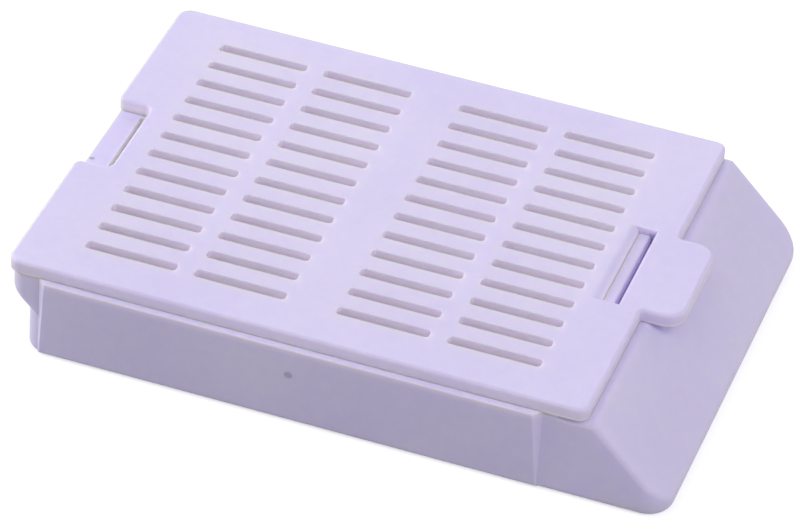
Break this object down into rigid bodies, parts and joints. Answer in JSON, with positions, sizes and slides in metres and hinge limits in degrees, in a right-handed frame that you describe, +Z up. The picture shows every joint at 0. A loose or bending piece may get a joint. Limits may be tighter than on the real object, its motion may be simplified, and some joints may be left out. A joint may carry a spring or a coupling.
{
  "type": "tissue cassette",
  "caption": "Flat lidded tissue cassette: slotted tray, hinged slotted lid with finger tab and snap latch, slanted writing face.",
  "frame": {"origin": "centre of the closed cassette's footprint, on the plane of the tray's underside", "axes": "+X along the length towards the slanted writing face, +Y to the left when the writing face is ahead, +Z up out of the lid"},
  "size_m": [0.0402, 0.0286, 0.0065],
  "materials": {
    "base": "satin",
    "lid": "satin"
  },
  "bodies": {
    "base": {"base": "base"},
    "lid": {"lid": "lid"}
  },
  "joints": [
    {"name": "lid_hinge", "type": "hinge", "parent": "base", "child": "lid", "pos_m": [-0.02005, 0, 0.00567], "axis": [0, -1, 0], "range_deg": [0, 100]}
  ]
}
